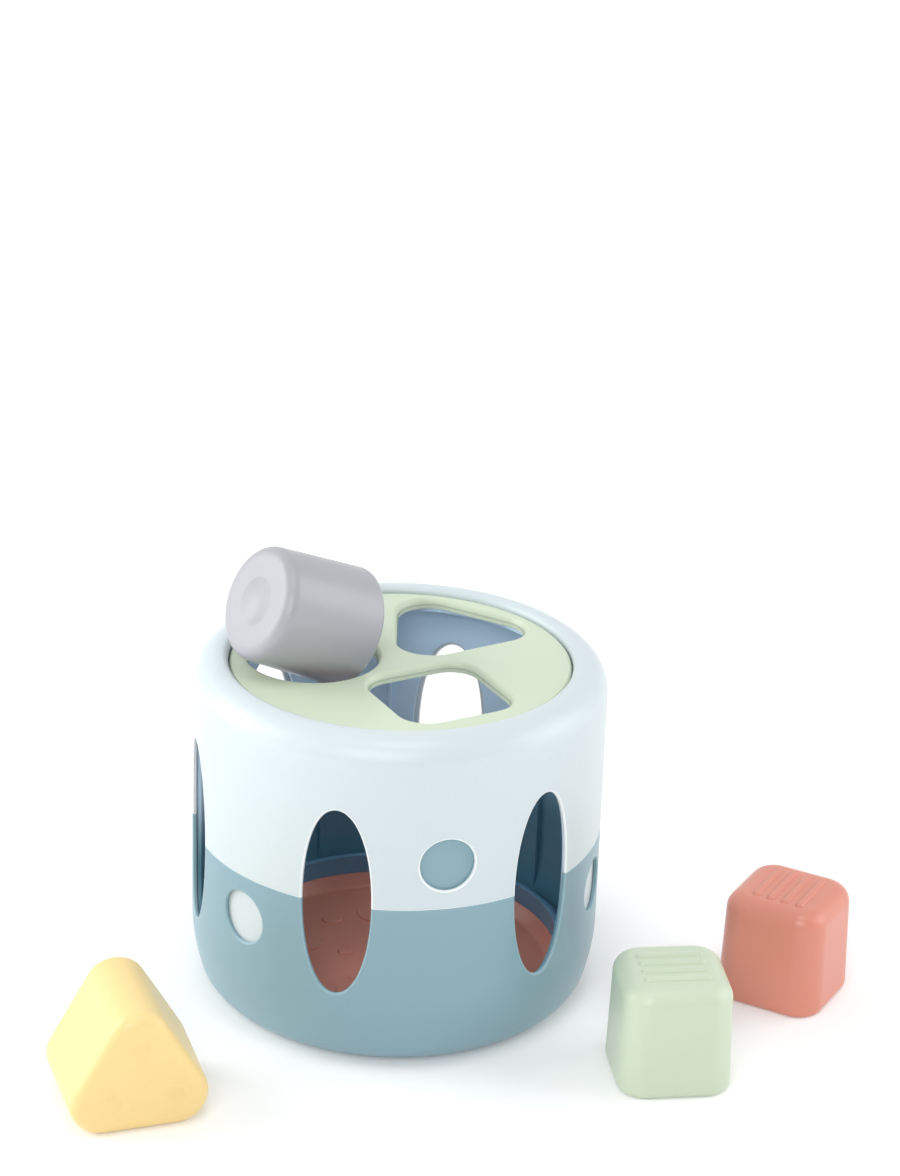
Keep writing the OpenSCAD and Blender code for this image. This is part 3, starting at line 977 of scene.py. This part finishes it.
shelf_low = SHELF_Z - SHELF_T
ring_section = (
    arc(COLLAR_OUT - soft, RING_Z - soft, soft, 0, 90, 5)
    + arc(COLLAR_X + soft, RING_Z - soft, soft, 90, 180, 5)
    + [(COLLAR_X, PLATE_RIM_Z + GAP)]
    + [(PLATE_R + GAP, PLATE_RIM_Z + GAP), (PLATE_R + GAP, inner_foot_z(PLATE_R + GAP) + GAP)]
    + [(COLLAR_OUT, inner_foot_z(COLLAR_OUT) + GAP), (COLLAR_OUT, shelf_low)]
    + [(inner_wall_x(shelf_low) - GAP, shelf_low), (inner_wall_x(SHELF_Z) - GAP, SHELF_Z)]
    + [(COLLAR_OUT, SHELF_Z)]
)
floor_ring = turned("blue_floor_ring", ring_section)
shade(floor_ring)
hand_over(floor_ring, "root", "floor_ring", ring_plastic)

# %% [markdown]
# The floor is a shallow dish with a raised edge. Its motifs are plain round pads: a large one in
# the middle and six of each of three sizes round it. A pad is a short cylinder whose top edge is
# rounded, sunk into the floor and united with it.

# %% Floor plate
PLATE_Z = 3.6 * MM
PLATE_X = 60.3 * MM
PLUG_R = BASE_HOLE_R - GAP
PAD_H = 0.7 * MM
# Count, radius and distance from the middle in millimetres, and direction of the first one.
PADS = ((6, 9.5, 39, 158), (6, 4, 40, 128), (6, 3, 19.5, 162), (1, 8, 0, 0))

bend = 1.2 * MM
plate_section = (
    [(0, 0), (PLUG_R, 0), (PLUG_R, LINER_IN), (FOOT_X, LINER_IN)]
    + [(x, inner_foot_z(x)) for x in spread(FOOT_X, PLATE_R, 3)[1:]]
    + arc(PLATE_R - soft, PLATE_RIM_Z - soft, soft, 0, 90, 5)
    + [(COLLAR_X - 0.2 * MM, PLATE_RIM_Z), (PLATE_X + bend / 2, PLATE_Z + bend * 0.9)]
    + [(PLATE_X - bend * 0.1, PLATE_Z + 0.3 * bend), (PLATE_X - bend, PLATE_Z), (0, PLATE_Z)]
)
floor_plate = turned("terracotta_floor", plate_section)

pads = []
for count, radius, distance, direction in PADS:
    for i in range(count):
        turn = math.radians(direction + i * 360 / count)
        bpy.ops.mesh.primitive_cylinder_add(
            vertices=64, radius=radius * MM, depth=PAD_H + 0.5 * MM,
            location=(distance * MM * math.cos(turn), distance * MM * math.sin(turn),
                      PLATE_Z + PAD_H / 2 - 0.25 * MM))
        pad = bpy.context.object
        bpy.ops.object.transform_apply(location=True)
        edit(pad, "EDGE", lambda centre, ends: min(e.z for e in ends) > PLATE_Z + PAD_H / 2,
             bpy.ops.mesh.bevel, offset=0.55 * MM, segments=4)
        pads.append(pad)
pad_group = join(*pads)
apply_modifier(floor_plate, "BOOLEAN", operation="UNION", object=pad_group, solver="EXACT")
bpy.data.objects.remove(pad_group)
shade(floor_plate, 30)
hand_over(floor_plate, "root", "floor_plate", terracotta_plastic)

# %% [markdown]
# ## The lid
#
# The lid is a flat plate with three holes, and the edge of each hole rolls softly down through the
# whole plate, which guides a block in. A flat curve does this best: its outlines are filled,
# holes and all, and the curve's own bevel rounds every edge evenly, whatever its shape. The
# holes fit the blocks: a circle, a square and a triangle with round corners.

# %% Outlines
ROUND_HOLE = (33.2 * MM, 175, 24.3 * MM)
SQUARE_HOLE = (31 * MM, -62, 22 * MM, 10.5 * MM)
TRIANGLE_HOLE = (37.6 * MM, 60, 70.5 * MM, 12.5 * MM)


def polar(distance, degrees):
    turn = math.radians(degrees)
    return Vector((distance * math.cos(turn), distance * math.sin(turn)))


def rounded_outline(middles, radius, steps):
    """Points of an outline whose corners are arcs of one radius about the given middles."""
    points = []
    count = len(middles)
    half = 180 / count
    for middle, direction in middles:
        for turn in spread(direction - half, direction + half, steps):
            points.append(middle + polar(radius, turn))
    return points


def square_outline(half_width, radius, direction, steps=12):
    reach = (half_width - radius) * math.sqrt(2)
    return rounded_outline(
        [(polar(reach, direction + a), direction + a) for a in (45, 135, 225, 315)], radius, steps)


def triangle_outline(side, radius, direction, steps=16):
    reach = side / math.sqrt(3) - 2 * radius
    return rounded_outline(
        [(polar(reach, direction + a), direction + a) for a in (90, 210, 330)], radius, steps)


def circle_outline(radius, steps=180):
    return [polar(radius, turn) for turn in spread(0, 360, steps)[:-1]]


# %% Lid plate
LID_DEPTH = LID_Z - round(lid_low.z, 4)
LID_EDGE = 2 * MM
LID_RIM_EDGE = 1.3 * MM
PLATE_T = 2.4 * MM

drawing = bpy.data.curves.new("lid_drawing", "CURVE")
drawing.dimensions = "2D"
drawing.fill_mode = "BOTH"
lid_outlines = (
    (circle_outline(LID_R - LID_EDGE), Vector((0, 0))),
    (circle_outline(ROUND_HOLE[2] + LID_EDGE, 120), polar(*ROUND_HOLE[:2])),
    (square_outline(SQUARE_HOLE[2] + LID_EDGE, SQUARE_HOLE[3] + LID_EDGE, SQUARE_HOLE[1]),
     polar(*SQUARE_HOLE[:2])),
    (triangle_outline(TRIANGLE_HOLE[2] + 2 * math.sqrt(3) * LID_EDGE, TRIANGLE_HOLE[3] + LID_EDGE,
                      TRIANGLE_HOLE[1] + 90), polar(*TRIANGLE_HOLE[:2])),
)
for outline, middle in lid_outlines:
    spline = drawing.splines.new("POLY")
    spline.points.add(len(outline) - 1)
    spline.use_cyclic_u = True
    for point, place_on in zip(spline.points, outline):
        point.co = (place_on.x + middle.x, place_on.y + middle.y, 0, 1)
drawing.bevel_depth = LID_EDGE
drawing.bevel_resolution = 7
lid = bpy.data.objects.new("green_lid", drawing)
bpy.context.collection.objects.link(lid)
pick(lid)
bpy.ops.object.convert(target="MESH")
lid = bpy.context.object
tidy_mesh(lid)

# %% [markdown]
# The bevel rounds both sides alike. The lower side is pressed flat, and the upper one stretched
# to the plate's thickness. The outer edge, which only has to clear the rim, gets a tighter
# rounding: its points keep their place along the arc and move to a smaller one.

# %% Lid edges
for vertex in lid.data.vertices:
    point = vertex.co
    reach = math.hypot(point.x, point.y)
    over = (reach - LID_R + LID_EDGE) / LID_EDGE
    point.z = max(point.z, 0) * LID_DEPTH / LID_EDGE
    if over > -0.01 and point.z > HAIR:
        turn = math.acos(max(0, min(over, 1)))
        wanted = LID_R - LID_RIM_EDGE * (1 - math.cos(turn))
        point.x *= wanted / reach
        point.y *= wanted / reach
        point.z = LID_DEPTH - LID_RIM_EDGE * (1 - math.sin(turn))
    point.z += LID_Z - LID_DEPTH

# %% [markdown]
# A real lid isn't a thick slab. Its underside is hollowed to leave a thin plate with a skirt
# round the rim and a collar round each hole.

# %% Lid underside
LID_SKIRT = 2.2 * MM

lid_foot = LID_Z - LID_DEPTH + HAIR
choose(lid, "FACE", lambda centre, normal: normal.z < -0.99 and centre.z < lid_foot)
bpy.ops.mesh.inset(thickness=LID_SKIRT, depth=0)
bpy.ops.mesh.extrude_region_move(TRANSFORM_OT_translate={"value": (0, 0, LID_DEPTH - PLATE_T)})
bpy.ops.object.mode_set(mode="OBJECT")
shade(lid)
hand_over(lid, "lid", "lid", green_plastic)

# %% [markdown]
# ## The blocks
#
# A block narrows slightly towards its closed end, so that it slips through its hole and out of
# its mould. The prism blocks start as cylinder primitives with one point for each point of their
# outline: the lower loop gets the outline of the base, the upper loop the slightly smaller one of
# the top. Beveling each loop then gives the round foot and the deep round crown.

# %% Prisms
def column(name, low_outline, high_outline, low, high):
    """A closed solid between an outline at one height and an outline at another."""
    bpy.ops.mesh.primitive_cylinder_add(vertices=len(low_outline), depth=high - low)
    made = bpy.context.object
    made.name = name
    for index, (foot, head) in enumerate(zip(low_outline, high_outline)):
        made.data.vertices[2 * index].co = (*foot, low)
        made.data.vertices[2 * index + 1].co = (*head, high)
    tidy_mesh(made)
    return made


def prism(name, base_outline, top_outline, height, foot_r, crown_r):
    made = column(name, base_outline, top_outline, 0, height)
    edit(made, "EDGE", lambda centre, ends: min(end.z for end in ends) > height - HAIR,
         bpy.ops.mesh.bevel, offset=crown_r, segments=10, clamp_overlap=False)
    edit(made, "EDGE", lambda centre, ends: max(end.z for end in ends) < HAIR,
         bpy.ops.mesh.bevel, offset=foot_r, segments=5, clamp_overlap=False)
    return made


MOUTH_IN = 3.4 * MM
PLUG_T = 2 * MM
PLUG_IN = 0.3 * MM
PLUG_EDGE = 0.3 * MM
FOOT_EDGE = 2.6 * MM


def open_base(block):
    """Sinks the base to leave the opening that a plug fills."""
    choose(block, "FACE", lambda centre, normal: normal.z < -0.99 and centre.z < HAIR)
    bpy.ops.mesh.inset(thickness=MOUTH_IN - FOOT_EDGE, depth=0)
    bpy.ops.mesh.extrude_region_move(
        TRANSFORM_OT_translate={"value": (0, 0, PLUG_IN + PLUG_T + 0.02 * MM)})
    bpy.ops.object.mode_set(mode="OBJECT")


def plug(name, outline):
    """The flat plug in a block's base, with softened edges."""
    made = column(name, outline, outline, PLUG_IN, PLUG_IN + PLUG_T)
    edit(made, "EDGE", lambda centre, ends: abs(ends[0].z - ends[1].z) < HAIR,
         bpy.ops.mesh.bevel, offset=PLUG_EDGE, segments=3)
    return made


def put(piece, place):
    """Moves a finished piece to its place by its mesh, so its object stays at the origin."""
    piece.data.transform(place)


# %% [markdown]
# A square block carries four rounded ridges on its closed end, a grip for a child's fingers. A
# ridge is a sphere pulled apart at its middle into a capsule, and the four are united with the
# block.

# %% Square blocks
SQUARE_H = 43.4 * MM
SQUARE_W = 21.3 * MM
SQUARE_CORNER = 10.5 * MM
SQUARE_DRAFT = 1 * MM
CROWN_R = 6.5 * MM
RIDGE_R = 1.9 * MM
RIDGE_X = 11 * MM
RIDGE_PITCH = 5.9 * MM
RIDGE_PROUD = 1.1 * MM


def ridge(across):
    bpy.ops.mesh.primitive_uv_sphere_add(segments=32, ring_count=16, radius=RIDGE_R)
    made = bpy.context.object
    made.data.transform(Matrix.Rotation(math.radians(90), 4, "Y"))
    for side in (-1, 1):
        edit(made, "VERT", lambda centre, vertex: side * centre.x > HAIR,
             bpy.ops.transform.translate, value=(side * RIDGE_X, 0, 0))
    put(made, Matrix.Translation((0, across, SQUARE_H - RIDGE_R + RIDGE_PROUD)))
    return made


def square_block(name, place, material, node):
    base = square_outline(SQUARE_W, SQUARE_CORNER, 0)
    top = [
        p - Vector((math.copysign(SQUARE_DRAFT, p.x), math.copysign(SQUARE_DRAFT, p.y)))
        for p in base
    ]
    block = prism(name, base, top, SQUARE_H, FOOT_EDGE, CROWN_R)
    open_base(block)
    grips = join(*[ridge((i - 1.5) * RIDGE_PITCH) for i in range(4)])
    apply_modifier(block, "BOOLEAN", operation="UNION", object=grips, solver="EXACT")
    bpy.data.objects.remove(grips)
    inset = MOUTH_IN + GAP
    cap = plug(f"{name}_plug", square_outline(SQUARE_W - inset, SQUARE_CORNER - inset, 0))
    for piece, its_node in ((block, node), (cap, f"{node}_cap")):
        put(piece, place)
        shade(piece, 35)
        hand_over(piece, node, its_node, material)


def standing(x, y, turn):
    return Matrix.Translation((x * MM, y * MM, 0)) @ Matrix.Rotation(math.radians(turn), 4, "Z")


square_block("green_square_block", standing(102.9, -69.8, 7), green_plastic, "green_block")
square_block("terracotta_square_block", standing(151.8, -6.3, 61), terracotta_plastic,
             "red_block")

# %% [markdown]
# The triangular block lies on one of its long sides. Its closed end, which faces the front, has
# three shallow round dimples: a large sphere is set so that only its lowest slice enters the
# face, and that slice is cut away.

# %% Triangular block
TRIANGLE_L = 45 * MM
TRIANGLE_SIDE = 68.8 * MM
TRIANGLE_CORNER = 11.7 * MM
TRIANGLE_DRAFT = 1.3 * MM
TRIANGLE_CROWN = 5 * MM
DIMPLE_R = 4.5 * MM
DIMPLE_DEPTH = 0.8 * MM
DIMPLE_X = 13.2 * MM

base = triangle_outline(TRIANGLE_SIDE, TRIANGLE_CORNER, 0)
top = triangle_outline(TRIANGLE_SIDE - TRIANGLE_DRAFT, TRIANGLE_CORNER, 0)
triangle_block = prism("yellow_triangle_block", base, top, TRIANGLE_L, FOOT_EDGE, TRIANGLE_CROWN)
open_base(triangle_block)
dimple_sphere = (DIMPLE_R**2 + DIMPLE_DEPTH**2) / (2 * DIMPLE_DEPTH)
balls = []
for direction in (90, 210, 330):
    spot = polar(DIMPLE_X, direction)
    bpy.ops.mesh.primitive_uv_sphere_add(
        segments=96, ring_count=96, radius=dimple_sphere,
        location=(spot.x, spot.y, TRIANGLE_L + dimple_sphere - DIMPLE_DEPTH))
    balls.append(bpy.context.object)
balls = join(*balls)
apply_modifier(triangle_block, "BOOLEAN", operation="DIFFERENCE", object=balls, solver="EXACT")
bpy.data.objects.remove(balls)
triangle_plug = plug("yellow_triangle_plug", triangle_outline(
    TRIANGLE_SIDE - 2 * math.sqrt(3) * (MOUTH_IN + GAP), TRIANGLE_CORNER - MOUTH_IN - GAP, 0))

in_radius = TRIANGLE_SIDE / (2 * math.sqrt(3))
tilt = math.atan(TRIANGLE_DRAFT / (2 * math.sqrt(3)) / (TRIANGLE_L - FOOT_EDGE - TRIANGLE_CROWN))
lift = (in_radius + FOOT_EDGE * math.tan(tilt)) * math.cos(tilt)
lying = (
    Matrix.Translation((-101.1 * MM, -78.98 * MM, lift + GAP))
    @ Matrix.Rotation(math.radians(18), 4, "Z")
    @ Matrix.Rotation(math.radians(90) + tilt, 4, "X")
)
for piece, node in ((triangle_block, "triangle_block"), (triangle_plug, "triangle_block_cap")):
    put(piece, lying)
    shade(piece, 35)
    hand_over(piece, "triangle_block", node, yellow_plastic)

# %% [markdown]
# The round block is turned. Its closed end has a shallow dish, whose edge blends into the face.
# It has been left leaning in the lid's round hole.

# %% Round block
ROUND_H = 44 * MM
ROUND_R = 23 * MM
ROUND_DRAFT = 1.2 * MM
ROUND_CROWN = 5 * MM
DISH_R = 9.6 * MM
DISH_DEPTH = 1.6 * MM

dish_sphere = (DISH_R**2 + DISH_DEPTH**2) / (2 * DISH_DEPTH)
dish_angle = math.degrees(math.asin(DISH_R / dish_sphere))
mouth_r = ROUND_R - MOUTH_IN
pocket_z = PLUG_IN + PLUG_T + 0.02 * MM
crown_x = ROUND_R - ROUND_DRAFT - ROUND_CROWN
round_section = (
    [(0, pocket_z), (mouth_r, pocket_z), (mouth_r, 0)]
    + arc(ROUND_R - FOOT_EDGE, FOOT_EDGE, FOOT_EDGE, -90, 0, 6)
    + arc(crown_x, ROUND_H - ROUND_CROWN, ROUND_CROWN, 0, 90, 12)
    + arc(0, ROUND_H + dish_sphere - DISH_DEPTH, dish_sphere, dish_angle - 90, -90, 12)
)
round_block = turned("lilac_round_block", round_section, 128)
plug_r = mouth_r - GAP
round_plug = turned("lilac_round_plug", (
    [(0, PLUG_IN)]
    + arc(plug_r - PLUG_EDGE, PLUG_IN + PLUG_EDGE, PLUG_EDGE, -90, 0, 3)
    + arc(plug_r - PLUG_EDGE, PLUG_IN + PLUG_T - PLUG_EDGE, PLUG_EDGE, 0, 90, 3)
    + [(0, PLUG_IN + PLUG_T)]
), 96)
leaning = (
    Matrix.Translation((-19.95 * MM, 7.6 * MM, 141.75 * MM))
    @ Matrix.Rotation(math.radians(210.9), 4, "Z")
    @ Matrix.Rotation(math.radians(65.4), 4, "Y")
)
for piece, node in ((round_block, "round_block"), (round_plug, "round_block_cap")):
    put(piece, leaning)
    shade(piece, 35)
    hand_over(piece, "round_block", node, lilac_plastic)
